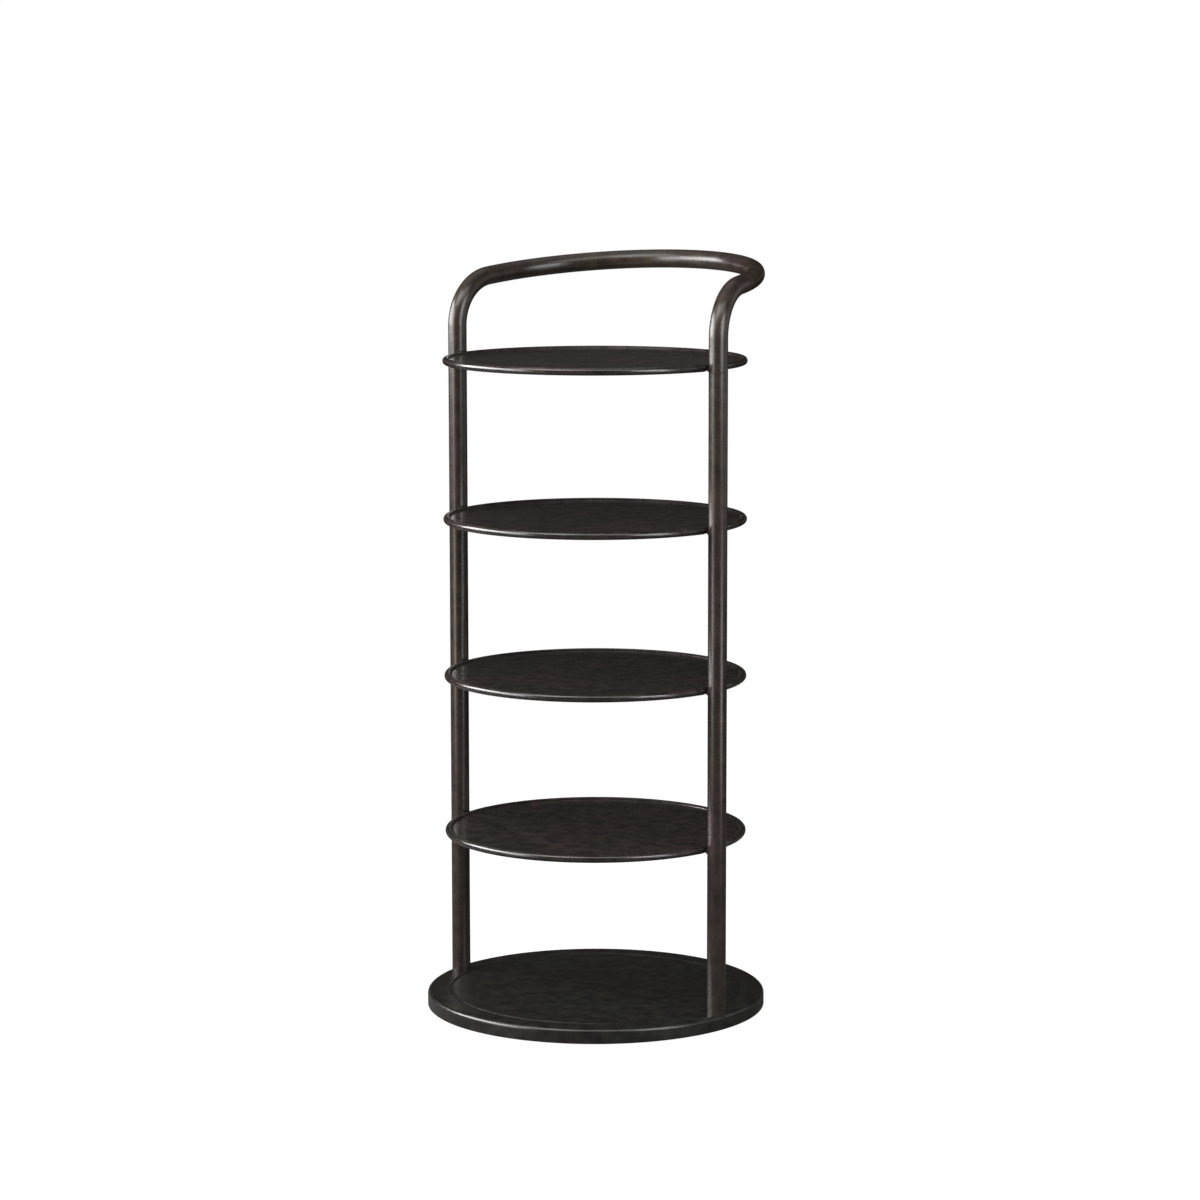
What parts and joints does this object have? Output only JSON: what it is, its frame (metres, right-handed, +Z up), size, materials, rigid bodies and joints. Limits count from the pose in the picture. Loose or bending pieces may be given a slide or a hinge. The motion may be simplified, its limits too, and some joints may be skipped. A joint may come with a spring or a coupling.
{
  "type": "round shoe rack",
  "caption": "Free-standing round shoe rack: thin round rimmed shelves on two tube posts over a thicker round base, with a bent tube hoop round the back of the top.",
  "frame": {"origin": "on the floor, on the common axis of the round shelves and base", "axes": "+Z up; the front, open side is -Y; +X is to the right seen from the front; the hoop goes round the back, +Y"},
  "size_m": [0.3454, 0.3454, 0.7665],
  "materials": {
    "black_tube_paint": "semi-gloss black enamel",
    "black_pan_paint": "semi-gloss black enamel, faintly brushed under the paint",
    "black_base_paint": "semi-gloss black enamel",
    "black_screw": "satin black oxide",
    "zinc_steel": "zinc plated",
    "fibreboard": "raw fibreboard",
    "pad_rubber": "matt"
  },
  "bodies": {
    "root": {"base_cover": "black_base_paint", "base_board": "fibreboard", "foot_bolts": "zinc_steel", "foot_washers": "zinc_steel", "handle_hoop": "black_tube_paint", "hoop_lock_screws": "black_screw", "base_pad_1": "pad_rubber", "base_pad_2": "pad_rubber", "base_pad_3": "pad_rubber", "base_pad_4": "pad_rubber", "base_pad_5": "pad_rubber", "shelf_pan_1": "black_pan_paint", "shelf_screws_1": "black_screw", "shelf_pan_2": "black_pan_paint", "shelf_screws_2": "black_screw", "shelf_pan_3": "black_pan_paint", "shelf_screws_3": "black_screw", "shelf_pan_4": "black_pan_paint", "shelf_screws_4": "black_screw", "post_left": "black_tube_paint", "post_plug_left": "zinc_steel", "hoop_spigot_left": "zinc_steel", "shelf_tab_1_left": "black_tube_paint", "shelf_tab_2_left": "black_tube_paint", "shelf_tab_3_left": "black_tube_paint", "shelf_tab_4_left": "black_tube_paint", "post_right": "black_tube_paint", "post_plug_right": "zinc_steel", "hoop_spigot_right": "zinc_steel", "shelf_tab_1_right": "black_tube_paint", "shelf_tab_2_right": "black_tube_paint", "shelf_tab_3_right": "black_tube_paint", "shelf_tab_4_right": "black_tube_paint"}
  },
  "joints": []
}
